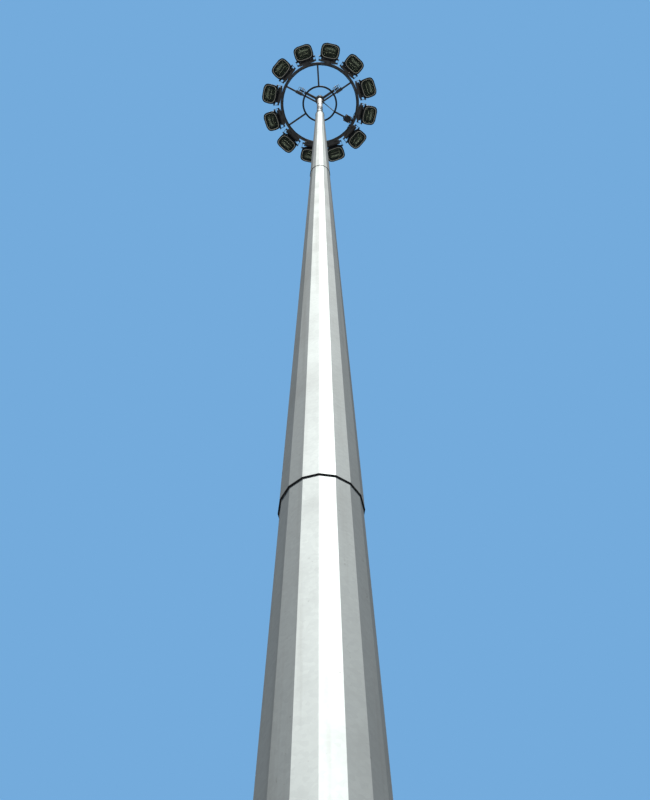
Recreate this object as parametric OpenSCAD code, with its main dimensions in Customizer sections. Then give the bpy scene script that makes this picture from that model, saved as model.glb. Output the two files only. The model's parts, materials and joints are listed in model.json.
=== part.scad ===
// High mast floodlight tower: a slip-jointed polygonal mast, a fixed head frame with
// rope sheaves, and a lantern carriage of twelve floodlights that is winched down the mast.
// Millimetres. The origin is the centre of the base flange's underside, +Z is up.

/* [Mast] */
// Across flats of the bottom section at the flange
base_af = 610; // [580:2:660]
// Across flats of the bottom section where the middle one slips over it
joint_1_af = 504; // [470:2:560]
// Across flats of the middle section where the top one slips over it
joint_2_af = 331; // [290:1:400]
// Across flats of the top section at its top end
top_af = 214; // [180:1:260]
// Height of the lower slip joint
joint_1_z = 6420; // [5400:20:7800]
// Height of the upper slip joint
joint_2_z = 17700; // [14800:100:21200]
// Height of the top end of the top section
mast_top_z = 26200; // [21800:100:31500]
// Length that each section reaches up inside the next, in joint across flats
slip_ratio = 1.5; // [1.2:0.1:2]
// Clear gap between the faces of two slipped sections
slip_gap = 2; // [1:0.5:4]
// Wall of the bottom section
wall_1 = 8; // [6:1:10]
// Wall of the middle section
wall_2 = 6; // [4:1:8]
// Wall of the top section
wall_3 = 4; // [3:1:6]

/* [Base] */
// Outside diameter of the base flange
flange_d = 860; // [800:10:1000]
// Thickness of the base flange
flange_t = 40; // [30:2:50]
// Cable entry hole through the flange
cable_hole_d = 430; // [300:10:500]
// Pitch circle of the anchor bolts
bolt_pcd = 740; // [720:5:800]
// Number of anchor bolt holes
bolt_count = 16; // [16:16:16]
// Diameter of the anchor bolt holes
bolt_hole_d = 39; // [30:1:42]
// Height of the gussets
gusset_h = 220; // [150:10:300]
// Reach of the gussets at the flange
gusset_reach = 84; // [60:2:96]
// Thickness of the gussets
gusset_t = 12; // [8:1:16]

/* [Door] */
// Width of the door opening
door_w = 300; // [240:10:320]
// Height of the door opening
door_h = 1100; // [800:50:1400]
// Height of the sill above the flange's underside
door_z = 620; // [500:20:800]
// Lap of the door leaf over the opening's edge
door_lap = 14; // [8:1:20]
// Thickness of the door leaf
door_t = 5; // [4:1:8]
// Width of the welded frame round the door
frame_w = 34; // [20:1:40]
// Stand of the welded frame above the mast's face
frame_t = 12; // [8:1:16]

/* [Head] */
// Outside diameter of the spigot tube
spigot_d = 160; // [140:2:176]
// Wall of the spigot tube
spigot_wall = 6; // [4:1:8]
// Length of spigot tube above the top section
spigot_rise = 3550; // [2900:50:4300]
// Diameter of the head drum
drum_d = 256; // [220:2:280]
// Height of the head drum above the spigot
drum_h = 180; // [160:5:220]
// Width of the head arms' box beams
arm_w = 64; // [50:2:80]
// Depth of the head arms' box beams
arm_h = 90; // [80:2:110]
// Plate thickness of the arms and sheave frames
arm_t = 6; // [4:1:8]
// Reach of the sheave frames from the mast axis
arm_reach = 705; // [660:5:720]
// Length of the sheave frames
cage_l = 206; // [190:2:220]
// Width of the sheave frames
cage_w = 134; // [110:2:150]
// Diameter of the rope sheaves
sheave_d = 150; // [130:2:170]
// Width of the rope sheaves
sheave_w = 30; // [24:1:34]
// Diameter of the hoist ropes
rope_d = 10; // [8:1:12]

/* [Carriage] */
// Drop from the spigot's top to the carriage rings' centre plane when docked
ring_drop = 880; // [730:10:1060]
// Inside radius of the outer ring
ring_r = 1060; // [900:10:1280]
// Radial width of the outer ring
ring_w = 60; // [50:2:80]
// Height of the outer ring
ring_h = 80; // [60:2:100]
// Wall of the outer ring's box section
ring_wall = 5; // [4:1:8]
// Centreline radius of the inner ring
guide_r = 473; // [450:1:520]
// Tube diameter of the inner ring
guide_d = 50; // [40:2:60]
// Side of the square spoke tube
spoke_a = 46; // [40:2:56]
// Wall of the square spoke tube
spoke_wall = 5; // [3:1:6]
// Angle of the first spoke from the +X axis
crown_turn = 30; // [0:0.5:60]
// Length of the gear boxes along the ring
gear_l = 420; // [340:10:440]
// Depth of the gear boxes away from the ring
gear_w = 105; // [80:5:120]
// Height of the gear boxes
gear_h = 120; // [90:5:150]
// Wall of the gear boxes and the junction box
gear_wall = 5; // [3:1:6]
// Length of the rope anchor blocks along their spokes
anchor_l = 190; // [150:5:220]
// Side length of the junction box
box_l = 180; // [150:5:216]
// Depth of the junction box
box_h = 110; // [80:5:140]

/* [Floodlights] */
// Width of a floodlight, along the ring
lamp_w = 525; // [440:5:540]
// Length of a floodlight, away from the ring
lamp_l = 430; // [400:5:450]
// Depth of a floodlight
lamp_h = 165; // [140:5:180]
// Corner radius of a floodlight's face
lamp_corner = 110; // [80:2:120]
// Housing wall
lamp_wall = 5; // [4:1:8]
// Glass thickness
glass_t = 6; // [4:1:8]
// Tilt of the beam outwards from straight down
aim_tilt = 20; // [10:1:30]
// Distance of the tilt pivot outside the ring's outer face
pivot_out = 150; // [130:1:160]
// Depth of the tilt pivot below the ring's centre plane
pivot_drop = 184; // [180:1:200]
// Distance from the inner end of a floodlight to its pivot
pivot_in = 56; // [50:1:66]
// Radius of the pivot bolts
pivot_r = 9; // [7:0.5:12]
// Thickness of the stirrup's flat bar
bracket_t = 8; // [6:1:10]
// Width of the stirrup's flat bar
bracket_w = 50; // [44:1:56]

/* [Hidden] */
mast_sides = 16;
facet_turn = 180 / mast_sides;
spokes = 6;
arms = 3;
lamps = 12;
fine = 96;            // facets of the round faces
corner_fine = 20;     // facets of the housing's corners
over = 1;             // how far a cutting tool runs past a face
weld_gap = 0.2;       // between faces that only touch
pin_gap = 0.05;       // radial, a pin in its hole
side_gap = 2;         // between a lamp and its stirrup's arm
rope_fine = 32;       // facets of the ropes
tube_fine = 48;       // facets of the inner ring's tube
cable_fine = 16;      // facets of the supply cable
gap_z = 0.01;         // keeps a cut's end face off the piece's own

overlap_1 = slip_ratio * joint_1_af;
overlap_2 = slip_ratio * joint_2_af;
middle_af = joint_1_af + 2 * (slip_gap + wall_2);
upper_af = joint_2_af + 2 * (slip_gap + wall_3);

function af_1(z) = base_af + (joint_1_af - base_af) * z / joint_1_z;
function af_2(z) = middle_af + (joint_2_af - middle_af) * (z - joint_1_z) / (joint_2_z - joint_1_z);
function corner_r(af) = af / 2 / cos(facet_turn);
function spoke_angle(i) = crown_turn + (i - 1) * 360 / spokes;
function arm_angle(i) = crown_turn + 60 + (i - 1) * 360 / arms;
function lamp_angle(i) = crown_turn + (i - 0.5) * 360 / lamps;

gusset_toe = 16;

// door
door_corner_r = 40;
door_margin = 150;                   // of mast face taken round the opening
door_turn = facet_turn;              // the middle of a facet, next to -Y
leaf_gap = 3;                        // between leaf and frame
hinge_d = 22;
hinge_l = 90;
lock_d = 34;
lock_h = 14;
lock_in = 30;                        // centre of the locks inside the opening's edge
hinge_share = [0.22, 0.78];          // of the opening's height
lock_share = [0.3, 0.7];

// head
spigot_top_z = mast_top_z + spigot_rise;
collar_plate_t = 26;
collar_plate_d = 2 * corner_r(top_af) + 8;
collar_socket_d = spigot_d + 26;
collar_socket_h = 450;
spigot_foot = 400;                   // length of spigot inside the top section
drum_lap = 70;                       // the drum's skirt below the spigot's top
drum_wall = 8;
arm_z = spigot_top_z + drum_h / 2;   // centreline of the arms
sheave_r = sheave_d / 2;
groove_depth = rope_d * 0.8;
groove_foot = rope_d * 0.7;
rim_flat = 3;                        // either side of the groove
rope_lift = 0.5;                     // between a rope and its groove or socket
rope_pitch_r = sheave_r - groove_depth + rope_d / 2;
rope_in = 45;                        // a hanging rope inside its frame's outer end
rope_r = arm_reach - rope_in;
sheave_x = rope_r - rope_pitch_r;
pin_d = 24;
pin_over = 12;                       // how far a pin stands out of its frame
cage_in = arm_reach - cage_l;        // inner end of the sheave frames
dock_lift = 32;                      // underside of the docking arms above the rings' plane
dock_a = 44;
dock_reach = guide_r + 3;
dock_root_h = 110;
dock_root_t = 12;

// carriage
ring_z = spigot_top_z - ring_drop;
ring_mid_r = ring_r + ring_w / 2;
ring_out_r = ring_r + ring_w;
anchor_w = 84;
anchor_h = 70;
anchor_top_z = ring_z + spoke_a / 2 + anchor_h;
box_in = 85;                         // junction box inside the outer ring
box_r = ring_r - box_l - box_in;
gear_lift = 10;                      // underside of the gear boxes below the rings' plane
cable_d = 24;
cable_drop = 60;                     // supply cable's upper end below the drum
cable_in = 20;                       // its lower end inside the inner ring

// floodlights
pivot_x = ring_out_r + pivot_out;
pivot_z = ring_z - pivot_drop;
lamp_out = lamp_l - pivot_in;
lamp_front = -0.45 * lamp_h;         // face of the floodlight below its pivot
lamp_back = 0.55 * lamp_h;
rim_h = 34;
back_in = 30;                        // flat of the back inside the floodlight's inner end
back_long = 0.62;                    // where it ends, over the floodlight's reach
back_wide = 0.31;                    // half its width, over the floodlight's width
back_corner = 0.7;                   // its corners, over the face's
boss_l = 70;                         // trunnion boss inside the housing
face_edge = 6;                       // housing's edge round the recess for the glass
ledge_w = 16;
ledge_depth = 12;
arm_y = lamp_w / 2 + side_gap;
ear_d = 46;
foot_w = 120;
foot_in = 6;                         // bracket's foot plate inside the ring's inner edge
bar_out = 12;                        // bracket's cross bar outside the ring's outer face
knob_d = 40;
knob_h = 12;

// ---- shared shapes ----

module mast_outline(af) {
    polygon([for (i = [0:mast_sides - 1])
        corner_r(af) * [sin(2 * facet_turn * i), -cos(2 * facet_turn * i)]]);
}

// A straight-sided taper from af0 at z0 to af1 at z1.
module taper(af0, af1, z0, z1) {
    translate([0, 0, z0])
        linear_extrude(height = z1 - z0, scale = af1 / af0)
            mast_outline(af0);
}

// One ring of the mast's corner points at height z.
function mast_ring(af, z) = [for (i = [0:mast_sides - 1])
    [corner_r(af) * sin(2 * facet_turn * i), -corner_r(af) * cos(2 * facet_turn * i), z]];

// Quads between two rings of the tube's points, numbered from a and from b.
function band(a, b) = [for (i = [0:mast_sides - 1])
    [a + i, b + i, b + (i + 1) % mast_sides, a + (i + 1) % mast_sides]];

module tapered_tube(af0, af1, z0, z1, wall) {
    n = mast_sides;
    polyhedron(
        points = concat(
            mast_ring(af0, z0), mast_ring(af1, z1),
            mast_ring(af1 - 2 * wall, z1), mast_ring(af0 - 2 * wall, z0)),
        faces = concat(band(0, n), band(n, 2 * n), band(2 * n, 3 * n), band(3 * n, 0)));
}

// A slab with round corners, w along X, l along Y, centred, from z = 0 up.
module rounded_slab(w, l, h, r) {
    translate([-w / 2 + r, -l / 2, 0]) cube([w - 2 * r, l, h]);
    translate([-w / 2, -l / 2 + r, 0]) cube([w, l - 2 * r, h]);
    for (x = [-1, 1], y = [-1, 1])
        translate([x * (w / 2 - r), y * (l / 2 - r), 0]) cylinder(r = r, h = h, $fn = fine);
}

module hollow_box(x, y, z) {
    difference() {
        cube([x, y, z]);
        translate([gear_wall, gear_wall, gear_wall])
            cube([x - 2 * gear_wall, y - 2 * gear_wall, z - 2 * gear_wall]);
    }
}

module tube(d, wall, h) {
    difference() {
        cylinder(d = d, h = h, $fn = fine);
        translate([0, 0, -over]) cylinder(d = d - 2 * wall, h = h + 2 * over, $fn = fine);
    }
}

// ---- mast ----

module base_flange() {
    color("lightgray")
        difference() {
            cylinder(d = flange_d, h = flange_t, $fn = fine);
            translate([0, 0, -over]) cylinder(d = cable_hole_d, h = flange_t + 2 * over, $fn = fine);
            for (i = [0:bolt_count - 1])
                rotate([0, 0, i * 360 / bolt_count])
                    translate([bolt_pcd / 2, 0, -over])
                        cylinder(d = bolt_hole_d, h = flange_t + 2 * over, $fn = fine);
        }
}

module base_gussets() {
    foot = af_1(flange_t) / 2 + weld_gap;
    head = af_1(flange_t + gusset_h) / 2 + weld_gap;
    color("lightgray")
        for (i = [0:mast_sides - 1])
            rotate([0, 0, facet_turn + i * 2 * facet_turn])
                translate([0, gusset_t / 2, 0])
                    rotate([90, 0, 0])
                        linear_extrude(height = gusset_t)
                            polygon([
                                [foot, flange_t], [foot + gusset_reach, flange_t],
                                [foot + gusset_reach, flange_t + gusset_toe],
                                [head + gusset_toe, flange_t + gusset_h], [head, flange_t + gusset_h],
                            ]);
}

// A box through the mast's wall on the door's side, past the leaf's lap by grow.
module door_box(grow) {
    rotate([0, 0, door_turn])
        translate([0, -base_af / 4, door_z + door_h / 2])
            rotate([90, 0, 0])
                rounded_slab(door_w + 2 * grow, door_h + 2 * grow, base_af, door_corner_r + grow);
}

// The skin of the bottom section between two distances above its outer face, at the door.
module door_skin(low, high) {
    z0 = door_z - door_margin;
    z1 = door_z + door_h + door_margin;
    difference() {
        taper(af_1(z0) + 2 * high, af_1(z1) + 2 * high, z0, z1);
        taper(af_1(z0) + 2 * low, af_1(z1) + 2 * low, z0 - gap_z, z1 + gap_z);
    }
}

module mast_section_1() {
    top = joint_1_z + overlap_1;
    color("silver")
        difference() {
            tapered_tube(af_1(flange_t), af_1(top), flange_t, top, wall_1);
            door_box(0);
        }
}

module mast_section_2() {
    top = joint_2_z + overlap_2;
    color("silver") tapered_tube(middle_af, af_2(top), joint_1_z, top, wall_2);
}

module mast_section_3() {
    color("silver") tapered_tube(upper_af, top_af, joint_2_z, mast_top_z, wall_3);
}

module door_frame() {
    color("lightgray")
        intersection() {
            door_skin(weld_gap, frame_t);
            difference() {
                door_box(door_lap + leaf_gap + frame_w);
                door_box(door_lap + leaf_gap);
            }
        }
}

module access_door() {
    color("silver")
        intersection() {
            door_skin(weld_gap, weld_gap + door_t);
            door_box(door_lap);
        }
}

module door_fittings() {
    face = base_af / 2 * 0.985 + frame_t + weld_gap;
    color("dimgray")
        rotate([0, 0, door_turn]) {
            for (s = hinge_share)
                translate([door_w / 2 + door_lap + leaf_gap + frame_w / 2,
                    -face + frame_w * 0.35, door_z + door_h * s - hinge_l / 2])
                    cylinder(d = hinge_d, h = hinge_l, $fn = fine);
            for (s = lock_share)
                translate([lock_in - door_w / 2, -af_1(door_z + door_h * s) / 2 - door_t,
                    door_z + door_h * s])
                    rotate([90, 0, 0]) cylinder(d = lock_d, h = lock_h, $fn = fine);
        }
}

// ---- head ----

module spigot_collar() {
    color("gainsboro")
        difference() {
            union() {
                translate([0, 0, mast_top_z + weld_gap])
                    cylinder(d = collar_plate_d, h = collar_plate_t, $fn = fine);
                translate([0, 0, mast_top_z + weld_gap + collar_plate_t])
                    cylinder(d = collar_socket_d, h = collar_socket_h, $fn = fine);
            }
            translate([0, 0, mast_top_z - over])
                cylinder(d = spigot_d + 2 * weld_gap, h = collar_plate_t + collar_socket_h + 3 * over,
                    $fn = fine);
        }
}

module mast_spigot() {
    color("gainsboro")
        translate([0, 0, mast_top_z - spigot_foot])
            tube(spigot_d, spigot_wall, spigot_top_z - mast_top_z + spigot_foot);
}

// A hollow drum that caps the spigot, with a slot for each rope.
module head_drum() {
    color("darkslategray")
        difference() {
            union() {
                translate([0, 0, spigot_top_z]) cylinder(d = drum_d, h = drum_h, $fn = fine);
                translate([0, 0, spigot_top_z - drum_lap])
                    cylinder(d = spigot_d + 2 * drum_wall + 2 * weld_gap, h = drum_lap + over, $fn = fine);
            }
            translate([0, 0, spigot_top_z - drum_lap - over])
                cylinder(d = spigot_d + 2 * weld_gap, h = drum_lap + over, $fn = fine);
            translate([0, 0, spigot_top_z - over / 2])
                cylinder(d = spigot_d - 2 * spigot_wall, h = 2 * over, $fn = fine);
            translate([0, 0, spigot_top_z + drum_wall])
                cylinder(d = drum_d - 2 * drum_wall, h = drum_h - 2 * drum_wall, $fn = fine);
            for (i = [1:arms])
                rotate([0, 0, arm_angle(i)])
                    translate([0, -rope_d, arm_z + rope_pitch_r - rope_d])
                        cube([drum_d, 2 * rope_d, 2 * rope_d]);
        }
}

// A box beam that carries an open frame for its sheave.
module head_arm(i) {
    color("darkslategray")
        rotate([0, 0, arm_angle(i)])
            translate([0, 0, arm_z])
                difference() {
                    union() {
                        translate([0, -arm_w / 2, -arm_h / 2]) cube([cage_in + over, arm_w, arm_h]);
                        translate([cage_in, -cage_w / 2, -arm_h / 2]) cube([cage_l, cage_w, arm_h]);
                    }
                    translate([0, arm_t - arm_w / 2, arm_t - arm_h / 2])
                        cube([cage_in - arm_t, arm_w - 2 * arm_t, arm_h - 2 * arm_t]);
                    translate([cage_in + arm_t, arm_t - cage_w / 2, -arm_h])
                        cube([cage_l - 2 * arm_t, cage_w - 2 * arm_t, 2 * arm_h]);
                    translate([0, 0, -arm_h])
                        cylinder(d = drum_d + 2 * weld_gap, h = 2 * arm_h, $fn = fine);
                    translate([cage_in - over, -rope_d, -arm_h / 2])
                        cube([2 * arm_t + 2 * over, 2 * rope_d, 2 * arm_h]);
                    translate([sheave_x, 0, 0]) rotate([90, 0, 0])
                        cylinder(d = pin_d + 2 * pin_gap, h = 4 * arm_h, center = true, $fn = fine);
                }
}

module head_sheave(i) {
    color("gray")
        rotate([0, 0, arm_angle(i)])
            translate([sheave_x, 0, arm_z])
                rotate([90, 0, 0])
                    translate([0, 0, -sheave_w / 2])
                        difference() {
                            rotate_extrude($fn = fine)
                                polygon([
                                    [0, 0], [sheave_r, 0], [sheave_r, rim_flat],
                                    [sheave_r - groove_depth, (sheave_w - groove_foot) / 2],
                                    [sheave_r - groove_depth, (sheave_w + groove_foot) / 2],
                                    [sheave_r, sheave_w - rim_flat], [sheave_r, sheave_w], [0, sheave_w],
                                ]);
                            translate([0, 0, -over])
                                cylinder(r = pin_d / 2 + pin_gap, h = sheave_w + 2 * over, $fn = fine);
                        }
}

module sheave_pins() {
    color("lightgray")
        for (i = [1:arms])
            rotate([0, 0, arm_angle(i)])
                translate([sheave_x, 0, arm_z])
                    rotate([90, 0, 0])
                        cylinder(d = pin_d, h = cage_w + 2 * pin_over, center = true, $fn = fine);
}

// Each rope from inside the drum, over its sheave, to just past the tangent point.
module rope_runs() {
    lift = rope_pitch_r + rope_lift;
    color("dimgray")
        for (i = [1:arms])
            rotate([0, 0, arm_angle(i)])
                translate([sheave_x, 0, arm_z]) {
                    rotate([0, -90, 0])
                        translate([lift, 0, 0])
                            cylinder(d = rope_d, h = sheave_x - spigot_d / 4, $fn = rope_fine);
                    rotate([90, 0, 0])
                        rotate_extrude(angle = 90, $fn = fine)
                            translate([lift, 0]) circle(d = rope_d, $fn = rope_fine);
                }
}

// Arms on the spigot that the docked carriage's spokes come up under.
module docking_arms() {
    root = spigot_d / 2 + weld_gap;
    color("darkslategray")
        for (i = [1:arms])
            rotate([0, 0, arm_angle(i)])
                translate([0, -dock_a / 2, ring_z + dock_lift]) {
                    translate([root, 0, 0]) cube([dock_reach - root, dock_a, dock_a]);
                    translate([root, 0, 0]) cube([dock_root_t, dock_a, dock_root_h]);
                }
}

// ---- carriage ----

module outer_ring() {
    color("darkslategray")
        translate([0, 0, ring_z])
            rotate_extrude($fn = fine)
                translate([ring_mid_r, 0])
                    difference() {
                        square([ring_w, ring_h], center = true);
                        square([ring_w - 2 * ring_wall, ring_h - 2 * ring_wall], center = true);
                    }
}

module inner_ring() {
    color("darkslategray")
        translate([0, 0, ring_z])
            rotate_extrude($fn = fine)
                translate([guide_r, 0]) circle(d = guide_d, $fn = tube_fine);
}

module ring_spoke(i) {
    spoke_out = sqrt(ring_r * ring_r - spoke_a * spoke_a / 4) - weld_gap;
    color("darkslategray")
        translate([0, 0, ring_z])
            difference() {
                rotate([0, 0, spoke_angle(i)])
                    translate([guide_r, -spoke_a / 2, -spoke_a / 2])
                        difference() {
                            cube([spoke_out - guide_r, spoke_a, spoke_a]);
                            translate([-over, spoke_wall, spoke_wall])
                                cube([ring_r, spoke_a - 2 * spoke_wall, spoke_a - 2 * spoke_wall]);
                        }
                rotate_extrude($fn = fine)
                    translate([guide_r, 0]) circle(d = guide_d + 2 * weld_gap, $fn = tube_fine);
            }
}

// Control gear in a flat box behind each floodlight, on the ring's outer face.
module gear_boxes() {
    color("darkslategray")
        for (i = [1:lamps])
            rotate([0, 0, lamp_angle(i)])
                translate([ring_out_r + weld_gap, -gear_l / 2, ring_z - gear_lift])
                    hollow_box(gear_w, gear_l, gear_h);
}

// Blocks on every second spoke that hold the ropes' ends.
module rope_anchors() {
    color("darkslategray")
        for (i = [1:arms])
            rotate([0, 0, arm_angle(i)])
                translate([rope_r - anchor_l / 2, -anchor_w / 2, ring_z + spoke_a / 2 + weld_gap])
                    cube([anchor_l, anchor_w, anchor_h - weld_gap]);
}

module hoist_ropes() {
    color("dimgray")
        for (i = [1:arms])
            rotate([0, 0, arm_angle(i)])
                translate([rope_r + rope_lift, 0, anchor_top_z])
                    cylinder(d = rope_d, h = arm_z - anchor_top_z - 2 * rope_lift, $fn = rope_fine);
}

module supply_cable() {
    color("dimgray")
        hull() {
            rotate([0, 0, spoke_angle(1)]) {
                translate([drum_d / 2 + cable_d, 0, spigot_top_z - cable_drop])
                    sphere(d = cable_d, $fn = cable_fine);
                translate([guide_r - cable_in, 0, ring_z + guide_d / 2 + cable_d])
                    sphere(d = cable_d, $fn = cable_fine);
            }
        }
}

module junction_box() {
    color("darkslategray")
        rotate([0, 0, spoke_angle(1)])
            translate([box_r, -box_l / 2, ring_z - spoke_a / 2 - box_h - weld_gap])
                hollow_box(box_l, box_l, box_h);
}

// One stirrup: a foot plate under the ring, a cross bar, and an arm down to each pivot.
module lamp_bracket() {
    foot_x = ring_r + foot_in;
    bar_x = ring_out_r + bar_out;
    bar_z = -ring_h / 2 - weld_gap - 2 * bracket_t;
    difference() {
        union() {
            translate([foot_x, -foot_w / 2, bar_z + bracket_t])
                cube([bar_x + bracket_w - foot_x - over, foot_w, bracket_t]);
            translate([bar_x, -arm_y - bracket_t / 2, bar_z])
                cube([bracket_w, 2 * arm_y + bracket_t, 1.5 * bracket_t]);
            for (s = [-1, 1])
                translate([0, s * (arm_y + bracket_t / 2), 0])
                    stirrup_arm(bar_x + bracket_w / 2, bar_z + 0.75 * bracket_t);
        }
        translate([pivot_x, 0, -pivot_drop]) rotate([90, 0, 0])
            cylinder(r = pivot_r + pin_gap, h = 3 * arm_y, center = true, $fn = fine);
    }
}

// A flat bar from the cross bar's end at (x, z) to the pivot, with round ends.
module stirrup_arm(x, z) {
    dx = pivot_x - x;
    dz = -pivot_drop - z;
    long = sqrt(dx * dx + dz * dz);
    translate([x, 0, z])
        rotate([0, -atan2(dz, dx), 0])
            rotate([90, 0, 0]) {
                translate([0, -ear_d / 2, -bracket_t / 2]) cube([long, ear_d, bracket_t]);
                for (u = [0, long])
                    translate([u, 0, -bracket_t / 2]) cylinder(d = ear_d, h = bracket_t, $fn = fine);
            }
}

module lamp_brackets() {
    color("darkslategray")
        for (i = [1:lamps])
            rotate([0, 0, lamp_angle(i)])
                translate([0, 0, ring_z])
                    lamp_bracket();
}

// ---- floodlights ----
// Each is drawn about its pivot, X away from the ring, then tilted and set in place.

module at_lamp(i) {
    rotate([0, 0, lamp_angle(i)])
        translate([pivot_x, 0, pivot_z])
            rotate([0, -aim_tilt, 0])
                children();
}

// A blunt bowl: a rounded face at the front and a smaller rounded back.
module lamp_bowl(inset, front, back) {
    x0 = -pivot_in + inset;
    x1 = lamp_out - inset;
    y1 = lamp_w / 2 - inset;
    r1 = lamp_corner - inset;
    back_x0 = x0 + back_in;
    back_x1 = lamp_out * back_long - inset;
    back_y = lamp_w * back_wide - inset;
    back_r = lamp_corner * back_corner - inset;
    hull() {
        for (x = [x0 + r1, x1 - r1], y = [r1 - y1, y1 - r1])
            translate([x, y, front]) cylinder(r = r1, h = rim_h, $fn = corner_fine);
        for (x = [back_x0 + back_r, back_x1 - back_r], y = [back_r - back_y, back_y - back_r])
            translate([x, y, back - over]) cylinder(r = back_r, h = over, $fn = corner_fine);
    }
}

module lamp_housing() {
    mid_x = (lamp_out - pivot_in) / 2;
    difference() {
        union() {
            lamp_bowl(0, lamp_front, lamp_back);
            for (s = [-1, 1])
                translate([0, s * lamp_w / 2, 0])
                    rotate([-s * 90, 0, 0]) {
                        translate([0, 0, -boss_l])
                            cylinder(r = pivot_r * 2, h = boss_l, $fn = fine);
                        translate([0, 0, -over])
                            cylinder(r = pivot_r, h = side_gap + bracket_t + 3 * over, $fn = fine);
                        translate([0, 0, side_gap + bracket_t + over])
                            cylinder(d = knob_d, h = knob_h, $fn = fine);
                    }
        }
        lamp_bowl(ledge_w, lamp_front + ledge_depth - over, lamp_back - lamp_wall);
        translate([mid_x, 0, lamp_front - over])
            rounded_slab(lamp_l - 2 * face_edge, lamp_w - 2 * face_edge, ledge_depth + over,
                lamp_corner - face_edge);
    }
}

module lamp_glass() {
    mid_x = (lamp_out - pivot_in) / 2;
    inset = face_edge + side_gap;
    translate([mid_x, 0, lamp_front + ledge_depth - glass_t - weld_gap])
        rounded_slab(lamp_l - 2 * inset, lamp_w - 2 * inset, glass_t, lamp_corner - inset);
}

module floodlight_housing(i) {
    color("darkslategray") at_lamp(i) lamp_housing();
}

module floodlight_glass(i) {
    color("lightcyan", 0.4) at_lamp(i) lamp_glass();
}

// ---- nodes ----

base_flange();
base_gussets();
mast_section_1();
mast_section_2();
mast_section_3();
door_frame();
access_door();
door_fittings();
spigot_collar();
mast_spigot();
head_drum();
for (i = [1:arms]) head_arm(i);
for (i = [1:arms]) head_sheave(i);
sheave_pins();
rope_runs();
docking_arms();
outer_ring();
inner_ring();
for (i = [1:spokes]) ring_spoke(i);
rope_anchors();
hoist_ropes();
supply_cable();
junction_box();
gear_boxes();
lamp_brackets();
for (i = [1:lamps]) floodlight_housing(i);
for (i = [1:lamps]) floodlight_glass(i);
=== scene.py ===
import bmesh
import bpy
import json
import math
from mathutils import Matrix, Vector


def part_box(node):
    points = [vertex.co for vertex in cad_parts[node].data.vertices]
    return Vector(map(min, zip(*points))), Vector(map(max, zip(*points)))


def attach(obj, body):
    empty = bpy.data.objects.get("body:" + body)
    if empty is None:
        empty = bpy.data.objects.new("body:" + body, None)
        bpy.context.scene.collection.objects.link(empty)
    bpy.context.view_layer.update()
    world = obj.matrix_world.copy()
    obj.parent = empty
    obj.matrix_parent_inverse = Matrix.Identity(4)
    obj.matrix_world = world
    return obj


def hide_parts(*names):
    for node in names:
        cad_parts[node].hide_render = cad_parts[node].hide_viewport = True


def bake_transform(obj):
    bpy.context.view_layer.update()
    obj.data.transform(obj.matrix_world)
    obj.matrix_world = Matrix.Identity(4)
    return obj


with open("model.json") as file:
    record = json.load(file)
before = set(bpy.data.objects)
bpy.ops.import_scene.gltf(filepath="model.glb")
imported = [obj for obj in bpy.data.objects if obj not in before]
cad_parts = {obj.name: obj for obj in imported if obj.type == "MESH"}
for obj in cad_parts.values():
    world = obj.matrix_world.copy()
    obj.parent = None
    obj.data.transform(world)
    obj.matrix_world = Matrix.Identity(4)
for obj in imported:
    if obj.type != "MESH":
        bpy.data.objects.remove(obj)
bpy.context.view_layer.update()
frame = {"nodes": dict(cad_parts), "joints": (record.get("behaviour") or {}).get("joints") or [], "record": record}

nodes = frame["nodes"]
joints = {j["name"]: j for j in frame["joints"]}
lampCount = sum(name.endswith("_tilt") for name in joints)
spokeCount = sum(name.startswith("ring_spoke_") for name in nodes)
armCount = sum(name.startswith("head_arm_") for name in nodes)
hoistJoint = joints["carriage_hoist"]
ringZ = hoistJoint["pos_m"][2]
spokeTurn = math.radians(30)


view = {
    "eye": (0.156, -2.886, 1.6),    # a person beside the foot, looking almost straight up
    "pitch": 66.0,
    "turn": 3.1,
    "roll": -0.24,
    "lens": 41.13,
    "shiftX": 0.005,
    "sunTilt": 38,                  # degrees off straight down
    "sunSide": 7,                   # to the right of the eye
    "sunPower": 2.5,
    "groundGlow": 0.5,
    "skyPower": 1.0,                # backdrop as seen
    "skyFill": 0.07,                # the same backdrop as fill light
    "skyColour": "#74abdc",
    "floorColour": "#c6c8c7",
    "floorRadius": 9.0,
}


def linear(hexColour, alpha=1.0):
    parts = [int(hexColour[i:i + 2], 16) / 255 for i in (1, 3, 5)]
    return [p / 12.92 if p <= 0.04045 else ((p + 0.055) / 1.055) ** 2.4 for p in parts] + [alpha]


def shift(x, y, z):
    return Matrix.Translation((x, y, z))


def spin(angle, axis="Z"):
    return Matrix.Rotation(angle, 4, axis)


def sideways(side):
    # turns Z to face +Y (side 1) or -Y (side -1)
    return Matrix.Rotation(-side * math.pi / 2, 4, "X")


def addNode(tree, kind, inputs=None, **settings):
    node = tree.nodes.new(kind)
    for name, value in settings.items():
        setattr(node, name, value)
    for name, value in (inputs or {}).items():
        if isinstance(value, bpy.types.NodeSocket):
            tree.links.new(value, node.inputs[name])
        else:
            node.inputs[name].default_value = value
    return node


cameraData = bpy.data.cameras.new("eye")
cameraData.lens = view["lens"]
cameraData.sensor_width = 36
cameraData.shift_x = view["shiftX"]
cameraData.clip_end = 500
camera = bpy.data.objects.new("eye", cameraData)
facing = spin(math.radians(view["turn"]))
facing = facing @ spin(math.radians(90 + view["pitch"]), "X")
facing = facing @ spin(math.radians(view["roll"]))
camera.matrix_world = Matrix.Translation(view["eye"]) @ facing
bpy.context.scene.collection.objects.link(camera)
bpy.context.scene.camera = camera

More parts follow.
